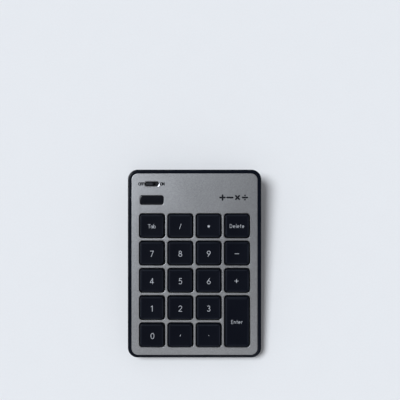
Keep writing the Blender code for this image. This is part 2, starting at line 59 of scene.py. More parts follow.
LEVEL = Matrix.Identity(4)
WELD = 0.001 * MM                # points nearer than this are one point
NO_AREA = 1e-7 * MM * MM         # faces smaller than this are slivers


def mm(*values):
    """Millimetres to metres, as a tuple."""
    return tuple(value * MM for value in values)


def deck_box(node):
    """A CAD node's limits along the deck's own axes."""
    turned_back = DECK.inverted()
    points = [turned_back @ vertex.co for vertex in frame["nodes"][node].data.vertices]
    low = Vector([min(point[axis] for point in points) for axis in range(3)])
    high = Vector([max(point[axis] for point in points) for axis in range(3)])
    return low, high


def middle(box):
    return (box[0] + box[1]) / 2


def extent(box):
    return box[1] - box[0]


# Outlines

def rounded_rect(width, depth, radius, z=0.0, center=(0.0, 0.0), steps=8, flats=0):
    """Counter-clockwise rounded rectangle.

    Each corner arc has steps + 1 points, and each straight side flats more between them.
    """
    corners = []
    for quarter in range(4):
        side_x = 1 if quarter in (0, 3) else -1
        side_y = 1 if quarter in (0, 1) else -1
        cx = center[0] + side_x * (width / 2 - radius)
        cy = center[1] + side_y * (depth / 2 - radius)
        angles = [(quarter + step / steps) * math.pi / 2 for step in range(steps + 1)]
        corners.append([(cx + radius * math.cos(angle), cy + radius * math.sin(angle), z)
                        for angle in angles])
    points = []
    for quarter, corner in enumerate(corners):
        points += corner
        start, end = Vector(corner[-1]), Vector(corners[(quarter + 1) % 4][0])
        points += [tuple(start.lerp(end, (step + 1) / (flats + 1))) for step in range(flats)]
    return points


def circle(radius, z, count, center=(0.0, 0.0)):
    """Circle whose points pair up with those of a rounded rectangle."""
    points = []
    for index in range(count):
        angle = (index + 0.5) * 2 * math.pi / count
        x = center[0] + radius * math.cos(angle)
        y = center[1] + radius * math.sin(angle)
        points.append((x, y, z))
    return points


def rounding(start, end, steps=5):
    """Quarter ellipse from a point on an upright side to a point on a level one."""
    points = []
    for step in range(steps + 1):
        angle = step / steps * math.pi / 2
        along = start[0] + (end[0] - start[0]) * (1 - math.cos(angle))
        height = start[1] + (end[1] - start[1]) * math.sin(angle)
        points.append((along, height))
    return points


# Meshes

def finish_mesh(bm, name, sharp=32):
    bmesh.ops.recalc_face_normals(bm, faces=bm.faces)
    mesh = bpy.data.meshes.new(name)
    bm.to_mesh(mesh)
    bm.free()
    mesh.shade_smooth()
    mesh.set_sharp_from_angle(angle=math.radians(sharp))
    return mesh


def bridge(bm, loops, ring=False):
    """Faces through loops of equal length; a ring joins the last loop to the first."""
    rows = [[bm.verts.new(point) for point in loop] for loop in loops]
    pairs = list(zip(rows, rows[1:]))
    if ring:
        pairs.append((rows[-1], rows[0]))
    else:
        bm.faces.new(rows[0])
        bm.faces.new(rows[-1])
    for lower, upper in pairs:
        for index in range(len(lower)):
            after = (index + 1) % len(lower)
            bm.faces.new((lower[index], lower[after], upper[after], upper[index]))


def loft(name, loops, ring=False, sharp=32):
    bm = bmesh.new()
    bridge(bm, loops, ring)
    return finish_mesh(bm, name, sharp)


def box_mesh(name, low, high):
    corners = ((low[0], low[1]), (high[0], low[1]), (high[0], high[1]), (low[0], high[1]))
    return loft(name, [[(x, y, z) for x, y in corners] for z in (low[2], high[2])])


def turned(name, profile, count=48, axis="Z", center=(0.0, 0.0), sharp=32):
    """Solid of revolution from (radius, height) pairs."""
    loops = []
    for radius, height in profile:
        loop = circle(radius, height, count, center)
        if axis == "X":
            loop = [(z, x, y) for x, y, z in loop]
        loops.append(loop)
    return loft(name, loops, sharp=sharp)


def cut_sheet(name, outline, holes, low, high, edge, sharp=32):
    """Flat sheet with holes, all its edges rounded by edge: a filled, bevelled curve."""
    curve = bpy.data.curves.new(name, "CURVE")
    curve.dimensions = "2D"
    curve.fill_mode = "BOTH"
    curve.bevel_depth = edge
    curve.bevel_resolution = 3
    curve.offset = -edge
    curve.extrude = (high - low) / 2 - edge
    for points in [outline] + holes:
        spline = curve.splines.new("POLY")
        spline.points.add(len(points) - 1)
        for target, point in zip(spline.points, points):
            target.co = (point[0], point[1], 0, 1)
        spline.use_cyclic_u = True
    item = bpy.data.objects.new(name, curve)
    bpy.context.scene.collection.objects.link(item)
    graph = bpy.context.evaluated_depsgraph_get()
    flat = bpy.data.meshes.new_from_object(item.evaluated_get(graph))
    bpy.data.objects.remove(item, do_unlink=True)
    bpy.data.curves.remove(curve)
    bm = bmesh.new()
    bm.from_mesh(flat)
    bpy.data.meshes.remove(flat)
    bmesh.ops.remove_doubles(bm, verts=bm.verts, dist=WELD)
    bmesh.ops.translate(bm, verts=bm.verts, vec=(0, 0, (low + high) / 2))
    return finish_mesh(bm, name, sharp)


def points_on(edge_loop, candidates):
    """Those candidate points that lie inside an edge, in order along it."""
    start = edge_loop.vert.co
    along = edge_loop.link_loop_next.vert.co - start
    found = []
    for vert in candidates:
        share = (vert.co - start).dot(along) / along.length_squared
        if 0 < share < 1 and vert not in edge_loop.edge.verts:
            if (start + along * share - vert.co).length < WELD:
                found.append((share, vert))
    return [vert for _share, vert in sorted(found, key=lambda pair: pair[0])]


def share_edges(bm):
    """Drops faces without area, and gives the edges that this opens the points on them."""
    for face in [face for face in bm.faces if face.calc_area() < NO_AREA]:
        bm.faces.remove(face)
    for edge in [edge for edge in bm.edges if not edge.link_faces]:
        bm.edges.remove(edge)
    open_edges = [edge for edge in bm.edges if edge.is_boundary]
    candidates = list(dict.fromkeys(vert for edge in open_edges for vert in edge.verts))
    for face in list(dict.fromkeys(edge.link_faces[0] for edge in open_edges)):
        outline = []
        for edge_loop in face.loops:
            outline.append(edge_loop.vert)
            if edge_loop.edge.is_boundary:
                outline += points_on(edge_loop, candidates)
        if len(outline) > len(face.verts):
            bm.faces.remove(face)
            bm.faces.new(outline)
    for edge in [edge for edge in bm.edges if not edge.link_faces]:
        bm.edges.remove(edge)


def keep_flats(mesh):
    """Normals weighted by face area, so that flats beside small roundings shade flat."""
    item = bpy.data.objects.new("flats", mesh)
    bpy.context.scene.collection.objects.link(item)
    modifier = item.modifiers.new("normals", "WEIGHTED_NORMAL")
    modifier.keep_sharp = True
    modifier.weight = 100
    graph = bpy.context.evaluated_depsgraph_get()
    result = bpy.data.meshes.new_from_object(item.evaluated_get(graph))
    result.name = mesh.name
    bpy.data.objects.remove(item, do_unlink=True)
    return result


def place(name, mesh, matrix, material, body, replaces=()):
    """Puts a finished mesh into the scene as a piece that rides on a CAD body."""
    item = bpy.data.objects.new(name, mesh)
    bpy.context.scene.collection.objects.link(item)
    item.matrix_world = matrix
    mesh.materials.clear()
    mesh.materials.append(material)
    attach(item, body)
    if replaces:
        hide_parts(*replaces)
    return item


def carved(name, base, tools, matrix=LEVEL):
    """Applies Booleans to a mesh, and cleans the result; tools are (mesh, operation, matrix)."""
    item = bpy.data.objects.new(name, base)
    bpy.context.scene.collection.objects.link(item)
    item.matrix_world = matrix
    helpers = []
    for mesh, operation, place_matrix in tools:
        helper = bpy.data.objects.new(mesh.name, mesh)
        bpy.context.scene.collection.objects.link(helper)
        helper.matrix_world = place_matrix
        modifier = item.modifiers.new(mesh.name, "BOOLEAN")
        modifier.operation = operation
        modifier.solver = "EXACT"
        modifier.object = helper
        helpers.append(helper)
    graph = bpy.context.evaluated_depsgraph_get()
    result = bpy.data.meshes.new_from_object(item.evaluated_get(graph))
    result.name = name
    for used in [item] + helpers:
        bpy.data.objects.remove(used, do_unlink=True)
    bm = bmesh.new()
    bm.from_mesh(result)
    bmesh.ops.remove_doubles(bm, verts=bm.verts, dist=WELD / 2)
    share_edges(bm)
    many_sided = [face for face in bm.faces if len(face.verts) > 4]
    bmesh.ops.triangulate(bm, faces=many_sided, ngon_method="BEAUTY")
    bm.to_mesh(result)
    bm.free()
    result.shade_smooth()
    result.set_sharp_from_angle(angle=math.radians(32))
    return result


# Materials

def link_noise(nodes, links, coords, scale, detail, roughness=0.5):
    noise = nodes.new("ShaderNodeTexNoise")
    noise.inputs["Scale"].default_value = scale
    noise.inputs["Detail"].default_value = detail
    noise.inputs["Roughness"].default_value = roughness
    links.new(coords, noise.inputs["Vector"])
    return noise.outputs["Fac"]


def spread(nodes, links, value, low, high):
    """Maps a noise value to the range low to high."""
    ramp = nodes.new("ShaderNodeMapRange")
    ramp.inputs["From Min"].default_value = 0.3
    ramp.inputs["From Max"].default_value = 0.7
    ramp.inputs["To Min"].default_value = low
    ramp.inputs["To Max"].default_value = high
    links.new(value, ramp.inputs["Value"])
    return ramp.outputs["Result"]


def mixed(nodes, links, share, first, second):
    """Colour between two colours; either may be a socket."""
    mix = nodes.new("ShaderNodeMix")
    mix.data_type = "RGBA"
    for socket, value in ((mix.inputs["A"], first), (mix.inputs["B"], second)):
        if hasattr(value, "is_linked"):
            links.new(value, socket)
        else:
            socket.default_value = (*value, 1)
    links.new(share, mix.inputs["Factor"])
    return mix.outputs["Result"]


def scaled(color, factor):
    return tuple(channel * factor for channel in color)


def surface(name, color, roughness, metallic=0.0, grain=900, bump=0.02, depth=0.02,
            tone=0.12, speck=0.12, blotch=0.05, stretch=(1, 1, 1), wear_and_sheen_tint=None, coat=0.0,
            specular=0.5):
    """Principled material: fine bump grain, cloudy roughness, uneven tone, lighter edge tint.

    grain is in features per metre, depth is the bump's height in millimetres, tone and
    speck the shares by which the colour varies broadly and finely, and blotch the spread
    of the roughness. Where a mesh has the attribute "wear_and_sheen", the surface goes
    towards wear_and_sheen_tint = (colour, roughness): edge wear on the case, and a
    painted highlight on the keycap shoulders and the plate's rounded edges.
    """
    material = bpy.data.materials.new(name)
    material.use_nodes = True
    nodes, links = material.node_tree.nodes, material.node_tree.links
    shader = nodes["Principled BSDF"]
    place_node = nodes.new("ShaderNodeTexCoord")
    scale = nodes.new("ShaderNodeMapping")
    scale.inputs["Scale"].default_value = stretch
    links.new(place_node.outputs["Object"], scale.inputs["Vector"])
    coords = scale.outputs["Vector"]
    fine = link_noise(nodes, links, coords, grain, 3, 0.6)
    cloud = link_noise(nodes, links, coords, 55, 4)
    tint = mixed(nodes, links, cloud, scaled(color, 1 - tone), scaled(color, 1 + tone))
    base = nodes.new("ShaderNodeMix")
    base.data_type = "RGBA"
    base.blend_type = "MULTIPLY"
    base.inputs["Factor"].default_value = 1.0
    links.new(tint, base.inputs["A"])
    links.new(spread(nodes, links, fine, 1 - speck, 1 + speck), base.inputs["B"])
    color_out = base.outputs["Result"]
    rough_out = spread(nodes, links, cloud, roughness - blotch, roughness + blotch)
    if wear_and_sheen_tint is not None:
        wear_and_sheen = nodes.new("ShaderNodeAttribute")
        wear_and_sheen.attribute_name = "wear_and_sheen"
        wear_and_sheen_share = nodes.new("ShaderNodeMath")
        wear_and_sheen_share.operation = "MULTIPLY"
        links.new(wear_and_sheen.outputs["Fac"], wear_and_sheen_share.inputs[0])
        links.new(spread(nodes, links, cloud, 0.45, 1.0), wear_and_sheen_share.inputs[1])
        color_out = mixed(nodes, links, wear_and_sheen_share.outputs[0], color_out, wear_and_sheen_tint[0])
        blend = nodes.new("ShaderNodeMix")
        links.new(wear_and_sheen_share.outputs[0], blend.inputs["Factor"])
        links.new(rough_out, blend.inputs["A"])
        blend.inputs["B"].default_value = wear_and_sheen_tint[1]
        rough_out = blend.outputs["Result"]
    links.new(color_out, shader.inputs["Base Color"])
    links.new(rough_out, shader.inputs["Roughness"])
    shader.inputs["Metallic"].default_value = metallic
    shader.inputs["Coat Weight"].default_value = coat
    shader.inputs["Coat Roughness"].default_value = 0.08
    shader.inputs["Specular IOR Level"].default_value = specular
    relief = nodes.new("ShaderNodeBump")
    relief.inputs["Strength"].default_value = bump
    relief.inputs["Distance"].default_value = depth * MM
    links.new(fine, relief.inputs["Height"])
    links.new(relief.outputs["Normal"], shader.inputs["Normal"])
    return material


def mark_wear_and_sheen(mesh, share_of):
    """Stores per vertex, from 0 to 1, how strongly the lighter edge tint applies (edge wear on
    the case, painted highlight on keycaps and plate).
    """
    wear_and_sheen = mesh.attributes.new("wear_and_sheen", "FLOAT", "POINT")
    for vertex, value in zip(mesh.vertices, wear_and_sheen.data):
        value.value = share_of(vertex.co)


# The silver's edge tint is a painted highlight: lighter, glossier silver on the rounded edges.
silver = surface("silver_paint", (0.350, 0.355, 0.370), 0.345, 0.9, grain=2300, bump=0.36,
                 depth=0.012, tone=0.03, speck=0.26, blotch=0.008,
                 wear_and_sheen_tint=((0.50, 0.51, 0.53), 0.26))
# Keycap edge tint: a painted highlight, a lighter, glossier outline along the shoulder.
key_black = surface("key_plastic", (0.0020, 0.0030, 0.0072), 0.50, grain=3400, bump=0.55,
                    depth=0.02, tone=0.18, speck=0.35, blotch=0.07,
                    wear_and_sheen_tint=((0.020, 0.024, 0.034), 0.30), specular=0.06)
case_black = surface("case_plastic", (0.0035, 0.0050, 0.0098), 0.19, grain=1500, bump=0.05,
                     depth=0.01, tone=0.15, blotch=0.04, wear_and_sheen_tint=((0.006, 0.008, 0.012), 0.30),
                     specular=0.13)
case_satin = surface("case_underside", (0.008, 0.009, 0.012), 0.50, grain=2600, bump=0.45,
                     depth=0.03, tone=0.2, blotch=0.06, specular=0.34)
switch_black = surface("switch_plastic", (0.006, 0.007, 0.010), 0.42, grain=3000, bump=0.2,
                       depth=0.01, tone=0.2, blotch=0.05, wear_and_sheen_tint=((0.03, 0.032, 0.04), 0.35),
                       specular=0.2)
smoke = surface("smoked_window", (0.004, 0.005, 0.008), 0.12, grain=700, bump=0.02,
                depth=0.01, tone=0.1, blotch=0.03, coat=0.5)
legend_ink = surface("legend_ink", (0.47, 0.49, 0.53), 0.5, grain=4000, bump=0.1,
                     depth=0.005, tone=0.08, blotch=0.04)
label_ink = surface("label_ink", (0.005, 0.006, 0.009), 0.5, grain=4000, bump=0.1,
                    depth=0.005, tone=0.1, blotch=0.04, specular=0.15)
rubber = surface("foot_rubber", (0.022, 0.022, 0.024), 0.85, grain=1800, bump=0.5,
                 depth=0.03, tone=0.25, blotch=0.05)
button_grey = surface("button_plastic", (0.045, 0.046, 0.050), 0.5, grain=2500, bump=0.25,
                      depth=0.01, tone=0.15, blotch=0.05)
lever_plastic = surface("lever_plastic", (0.02, 0.02, 0.022), 0.5, grain=2500, bump=0.2,
                        depth=0.01, tone=0.15, blotch=0.05)
silicone = surface("dome_silicone", (0.045, 0.045, 0.05), 0.6, grain=1200, bump=0.15,
                   depth=0.02, tone=0.15, blotch=0.08)
film = surface("membrane_film", (0.06, 0.065, 0.07), 0.3, grain=500, bump=0.1,
               depth=0.02, tone=0.2, blotch=0.08)
board_green = surface("board_fibre", (0.010, 0.075, 0.035), 0.42, grain=1600, bump=0.4,
                      depth=0.02, tone=0.3, blotch=0.08, coat=0.3)
led_white = surface("led_white", (0.70, 0.72, 0.70), 0.3, grain=1500, bump=0.1, depth=0.01)
plate_steel = surface("support_steel", (0.30, 0.31, 0.32), 0.4, 1.0, grain=1400, bump=0.2,
                      depth=0.01, tone=0.15, blotch=0.08, stretch=(1, 14, 1))
contact_steel = surface("contact_steel", (0.72, 0.71, 0.68), 0.24, 1.0, grain=2200, bump=0.2,
                        depth=0.006, tone=0.08, blotch=0.06)
screw_steel = surface("screw_steel", (0.10, 0.10, 0.105), 0.36, 1.0, grain=3000, bump=0.3,
                      depth=0.006, tone=0.2, blotch=0.08)
jacket = surface("cell_jacket", (0.04, 0.13, 0.30), 0.3, 0.25, grain=1500, bump=0.05,
                 depth=0.01, tone=0.12, blotch=0.05, coat=0.4)
jacket_band = surface("cell_band", (0.55, 0.56, 0.58), 0.3, 0.6, grain=1500, bump=0.05,
                      depth=0.01, tone=0.08, blotch=0.05, coat=0.4)


# Strokes for the legends: each glyph is drawn in a box one unit high, as centre lines

def arc(cx, cy, rx, ry, start, end, steps=18):
    """Points of an elliptic arc, angles in degrees."""
    points = []
    for step in range(steps + 1):
        angle = math.radians(start + (end - start) * step / steps)
        points.append((cx + rx * math.cos(angle), cy + ry * math.sin(angle)))
    return points


def ring(cx, cy, rx, ry):
    return arc(cx, cy, rx, ry, 0, 360, 32)


LOW, HALF, HIGH = 0.06, 0.5, 0.94
SMALL = 0.64     # height of the small letters' centre lines
GLYPHS = {
    "0": (0.62, [ring(0.31, HALF, 0.25, 0.44)]),
    "1": (0.52, [[(0.13, 0.76), (0.34, HIGH)], [(0.34, HIGH), (0.34, LOW)]]),
    "2": (0.62, [arc(0.31, 0.70, 0.23, 0.24, 165, -42) + [(0.07, LOW)],
                 [(0.07, LOW), (0.57, LOW)]]),
    "3": (0.60, [arc(0.28, 0.73, 0.20, 0.21, 145, -90), arc(0.28, 0.29, 0.24, 0.23, 90, -145)]),
    "4": (0.66, [[(0.46, LOW), (0.46, HIGH)], [(0.46, HIGH), (0.06, 0.30)],
                 [(0.06, 0.30), (0.61, 0.30)]]),
    "5": (0.60, [[(0.52, HIGH), (0.19, HIGH)], [(0.19, HIGH), (0.13, 0.55)],
                 [(0.13, 0.55)] + arc(0.29, 0.34, 0.25, 0.28, 118, -140)]),
    "6": (0.62, [ring(0.31, 0.31, 0.25, 0.25), [(0.45, HIGH), (0.09, 0.43)]]),
    "7": (0.60, [[(0.06, HIGH), (0.55, HIGH)], [(0.55, HIGH), (0.20, LOW)]]),
    "8": (0.62, [ring(0.31, 0.73, 0.19, 0.21), ring(0.31, 0.29, 0.25, 0.23)]),
    "9": (0.62, [ring(0.31, 0.69, 0.25, 0.25), [(0.53, 0.57), (0.17, LOW)]]),
    "/": (0.50, [[(0.08, 0.0), (0.42, 1.0)]]),
    "*": (0.60, [[(0.30 + 0.2 * math.cos(a), 0.5 + 0.2 * math.sin(a)),
                  (0.30 - 0.2 * math.cos(a), 0.5 - 0.2 * math.sin(a))]
                 for a in (math.pi / 2, math.pi / 6, -math.pi / 6)]),
    "-": (0.80, [[(0.06, HALF), (0.74, HALF)]]),
    "+": (0.70, [[(0.06, HALF), (0.64, HALF)], [(0.35, 0.21), (0.35, 0.79)]]),
    "x": (0.76, [[(0.17, 0.29), (0.59, 0.71)], [(0.17, 0.71), (0.59, 0.29)]]),
    ":": (0.76, [[(0.09, HALF), (0.67, HALF)], [(0.38, 0.759), (0.38, 0.761)],
                 [(0.38, 0.239), (0.38, 0.241)]]),
    ",": (0.30, [[(0.20, 0.60), (0.10, 0.40)]]),
    ".": (0.20, [[(0.10, 0.499), (0.10, 0.501)]]),
    "T": (0.68, [[(0.03, HIGH), (0.63, HIGH)], [(0.33, HIGH), (0.33, LOW)]]),
    "a": (0.64, [ring(0.30, 0.34, 0.23, 0.28), [(0.55, SMALL), (0.55, LOW)]]),
    "b": (0.64, [ring(0.33, 0.34, 0.23, 0.28), [(0.09, 1.0), (0.09, LOW)]]),
    "D": (0.74, [[(0.10, HIGH), (0.10, LOW)],
                 [(0.10, HIGH)] + arc(0.30, HALF, 0.36, 0.44, 90, -90) + [(0.10, LOW)]]),
    "e": (0.60, [arc(0.30, 0.34, 0.23, 0.28, 0, 302, 26), [(0.07, 0.35), (0.53, 0.35)]]),
    "l": (0.20, [[(0.10, 1.0), (0.10, LOW)]]),
    "t": (0.38, [[(0.19, 0.90), (0.19, LOW)], [(0.05, SMALL), (0.34, SMALL)]]),
    "E": (0.58, [[(0.10, HIGH), (0.10, LOW)], [(0.10, HIGH), (0.52, HIGH)],
                 [(0.10, HALF), (0.48, HALF)], [(0.10, LOW), (0.52, LOW)]]),
    "n": (0.58, [[(0.09, SMALL), (0.09, LOW)],
                 arc(0.29, 0.40, 0.20, 0.24, 180, 0) + [(0.49, LOW)]]),
    "r": (0.38, [[(0.09, SMALL), (0.09, LOW)], arc(0.27, 0.40, 0.18, 0.23, 180, 62)]),
    "O": (0.84, [ring(0.42, HALF, 0.36, 0.44)]),
    "F": (0.56, [[(0.10, HIGH), (0.10, LOW)], [(0.10, HIGH), (0.50, HIGH)],
                 [(0.10, HALF), (0.46, HALF)]]),
    "N": (0.74, [[(0.10, HIGH), (0.10, LOW)], [(0.10, HIGH), (0.64, LOW)],
                 [(0.64, HIGH), (0.64, LOW)]]),
}


def stroke_sections(path, half):
    """(left point, right point) pairs along a centre line, with round ends."""
    points = [Vector(point) for point in path]
    closed = (points[0] - points[-1]).length < 1e-7
    if closed:
        points.pop()
    sections = []
    count = len(points)
    for index, point in enumerate(points):
        before = points[index - 1] if closed or index else point
        after = points[(index + 1) % count] if closed or index < count - 1 else point
        along = (after - before).normalized()
        side = Vector((-along.y, along.x)) * half
        sections.append((point + side, point - side))
    if closed:
        return sections, True
    caps = (25, 50, 72, 88)
    for end, inward in ((0, points[1] - points[0]), (-1, points[-2] - points[-1])):
        out = -inward.normalized()
        side = Vector((-out.y, out.x)) * (half if end else -half)
        for degrees in caps:
            angle = math.radians(degrees)
            tip = points[end] + out * half * math.sin(angle)
            section = (tip + side * math.cos(angle), tip - side * math.cos(angle))
            if end:
                sections.append(section)
            else:
                sections.insert(0, section)
    return sections, False


def lettering(name, text, height, weight, center, surface_z, proud=0.02 * MM, gap=0.0):
    """Thin inlay in the shape of a text, following the surface below it."""
    width = sum(GLYPHS[letter][0] for letter in text) * height + (len(text) - 1) * gap
    left = center[0] - width / 2
    bottom = center[1] - height / 2
    bm = bmesh.new()
    lift = 0.0
    for letter in text:
        advance, strokes = GLYPHS[letter]
        for path in strokes:
            placed = [(left + x * height, bottom + y * height) for x, y in path]
            sections, closed = stroke_sections(placed, weight / 2)
            loops = []
            for one, other in sections:
                top_one = surface_z(one.x, one.y) + proud + lift
                top_other = surface_z(other.x, other.y) + proud + lift
                sunk = min(top_one, top_other) - 3 * proud
                loops.append([
                    (one.x, one.y, sunk), (other.x, other.y, sunk),
                    (other.x, other.y, top_other), (one.x, one.y, top_one),
                ])
            bridge(bm, loops, closed)
            lift += 0.002 * MM
        left += advance * height + gap
    return finish_mesh(bm, name)


# Keys

DISH = 0.16 * MM
CAP_R = 1.9 * MM
LEGENDS = {                      # text, height, stroke width and shift from the key's middle
    "tab": ("Tab", 2.6, 0.25, 0.0, -0.3), "slash": ("/", 3.3, 0.30, 0.0, -0.35),
    "asterisk": ("*", 3.6, 0.40, 0.0, -0.3), "delete": ("Delete", 2.6, 0.23, -0.2, -0.1),
    "minus": ("-", 4.0, 0.32, -0.25, -0.3), "plus": ("+", 4.0, 0.34, -0.45, -0.2),
    "enter": ("Enter", 2.6, 0.22, -0.3, -0.1), "comma": (",", 4.2, 0.30, 0.0, 0.0),
    "point": (".", 4.2, 0.48, 0.0, 0.0), "0": ("0", 4.15, 0.34, 0.4, -0.3),
}
LEGENDS.update({digit: (digit, 4.15, 0.33, 0.0, -0.3) for digit in "123456789"})
LETTER_GAPS = {"delete": 0.34, "enter": 0.28}


def dish_height(box):
    """Height of a keycap's hollowed top over a deck point."""
    center, size, edge = middle(box), extent(box), 1.0 * MM

    def height(x, y):
        u = min(1.0, abs(x - center.x) / (size.x / 2 - edge))
        v = min(1.0, abs(y - center.y) / (size.y / 2 - edge))
        return box[1].z - DISH * (1 - u * u) * (1 - v * v)

    return height


def keycap(name, box):
    """Cap with a drafted side, a rounded shoulder, a dished top and a hollow underside."""
    center, size = middle(box), extent(box)
    bottom, top = box[0].z, box[1].z
    height = dish_height(box)
    steps, flats = 6, 6
    count = 4 * (steps + 1 + flats)
    boss_r, boss_low, ceiling = mm(1.6, 1.0, 1.9)

    def loop(inset, z, radius):
        width, depth = size.x - 2 * inset, size.y - 2 * inset
        corner = min(max(radius - inset * 0.6, 0.5 * MM), width / 2 * 0.98)
        return rounded_rect(width, depth, corner, z, center, steps, flats)

    loops = [circle(0.8 * MM, bottom + boss_low, count, center)]
    loops.append(circle(boss_r, bottom + boss_low, count, center))
    loops.append(circle(boss_r, bottom + ceiling, count, center))
    loops.append(loop(1.45 * MM, bottom + ceiling, CAP_R))
    loops.append(loop(1.15 * MM, bottom + 0.1 * MM, CAP_R))
    loops.append(loop(1.05 * MM, bottom, CAP_R))
    loops.append(loop(0.12 * MM, bottom, CAP_R))
    loops.append(loop(0.0, bottom + 0.12 * MM, CAP_R))
    shoulder = (0.56 * MM, top - 0.42 * MM)
    for inset, z in rounding(shoulder, (1.0 * MM, top), 6):
        loops.append(loop(inset, z, CAP_R))
    rim = loop(1.0 * MM, top, CAP_R)
    for share in (0.90, 0.78, 0.64, 0.50, 0.36, 0.22, 0.08):
        flat = [(center.x + (x - center.x) * share, center.y + (y - center.y) * share)
                for x, y, _ in rim]
        loops.append([(x, y, height(x, y)) for x, y in flat])
    mesh = loft(name, loops, sharp=40)

    # Painted highlight: a lighter, glossier band along the top of the rounded shoulder.
    def shoulder_highlight(co):
        inset = min(size.x / 2 - abs(co.x - center.x), size.y / 2 - abs(co.y - center.y))
        return max(0.0, 1 - abs(inset - 0.85 * MM) / (0.3 * MM)) if co.z > top - DISH else 0.0

    mark_wear_and_sheen(mesh, shoulder_highlight)
    return mesh


def build_keys():
    for joint in frame["joints"]:
        name = joint["name"]
        if not name.startswith("press_") or name == "press_pairing_button":
            continue
        key = name[len("press_"):]
        node = "key_" + key
        box = deck_box(node)
        place("keycap_" + key, keycap("keycap_" + key, box), DECK, key_black, node,
              [node])
        text, height, weight, shift_x, shift_y = LEGENDS[key]
        center = middle(box)
        spot = (center.x + shift_x * MM, center.y + shift_y * MM)
        mesh = lettering("legend_" + key, text, height * MM, weight * MM, spot,
                         dish_height(box), gap=LETTER_GAPS.get(key, 0.05) * MM)
        place("legend_" + key, mesh, DECK, legend_ink, node)


# Plate and case

SLOT = mm(9.4, 3.1, 1.45)         # width, depth and corner radius of the switch slot
WINDOW = mm(16.1, 6.3, 1.6)       # the same for the window
RIM, FRONT_RIM = mm(2.55, 1.85)   # black rim: at the plate's sides and rear, in front of it
PLATE_R, TRAY_R, FOOT_R = mm(4.4, 6.6, 1.5)   # corner radii


def key_openings():
    """Outlines of the openings round the keys, centred on them."""
    gap = 0.4 * MM
    outlines = []
    for node in frame["nodes"]:
        if node.startswith("key_"):
            box = deck_box(node)
            center, size = middle(box), extent(box)
            outlines.append(rounded_rect(size.x + 2 * gap, size.y + 2 * gap, 2.2 * MM,
                                         center=center, steps=8))
    return outlines


def build_plate():
    box = deck_box("top_cover")
    top = box[1].z
    center, size = middle(box), extent(box)
    thickness = 1.3 * MM
    outline = rounded_rect(size.x, size.y, PLATE_R, center=center, steps=14)
    holes = key_openings()
    housing = middle(deck_box("switch_housing"))
    slot = (housing.x, housing.y)
    holes.append(rounded_rect(*SLOT, center=slot, steps=8))
    lens = deck_box("led_window")
    window = middle(lens)
    holes.append(rounded_rect(*WINDOW, center=window, steps=8))
    mesh = cut_sheet("plate", outline, holes, top - thickness, top, 0.28 * MM)
    sink = []
    for grow, rise in ((0.01, -0.24), (0.55, -0.01), (0.6, 0.1)):
        wide, deep, corner = (SLOT[0] + 2 * grow * MM, SLOT[1] + 2 * grow * MM,
                              SLOT[2] + grow * MM)
        sink.append(rounded_rect(wide, deep, corner, top + rise * MM, slot, 8))
    tools = [(loft("slot_sink", sink), "DIFFERENCE", LEVEL)]
    under = top - thickness
    for screw in ("screw_left", "screw_right"):
        spot = middle(deck_box(screw))
        post = [(1.5 * MM, under - 3.0 * MM), (1.5 * MM, under + 0.2 * MM)]
        bore = [(0.95 * MM, under - 3.2 * MM), (0.95 * MM, under - 0.3 * MM)]
        tools.append((turned("post", post, 32, center=spot), "UNION", LEVEL))
        tools.append((turned("bore", bore, 24, center=spot), "DIFFERENCE", LEVEL))
    mesh = carved("plate", mesh, tools)
    # Painted highlight: a lighter, glossier band on the plate's rounded top edges, outside and
    # round every opening.
    mark_wear_and_sheen(mesh, lambda co: max(0.0, 1 - abs(co.z - top + 0.14 * MM) / (0.13 * MM)))
    mesh = keep_flats(mesh)
    place("plate", mesh, DECK, silver, "root", ["top_cover"])

    def flat(_x, _y):
        return top

    proud = 0.01 * MM
    height, weight = mm(1.9, 0.54)
    for name, text, shift in (("label_off", "OFF", -7.2), ("label_on", "ON", 7.0)):
        spot = (slot[0] + shift * MM, slot[1])
        mesh = lettering(name, text, height, weight, spot, flat, proud)
        place(name, mesh, DECK, label_ink, "root")
    height, weight, gap = mm(5.4, 1.15, 0.9)
    spot = (center.x + size.x / 2 - 15.85 * MM, center.y + size.y / 2 - 16.2 * MM)
    mesh = lettering("sums_pictogram", "+-x:", height, weight, spot, flat, proud, gap)
    place("sums_pictogram", mesh, DECK, label_ink, "root")


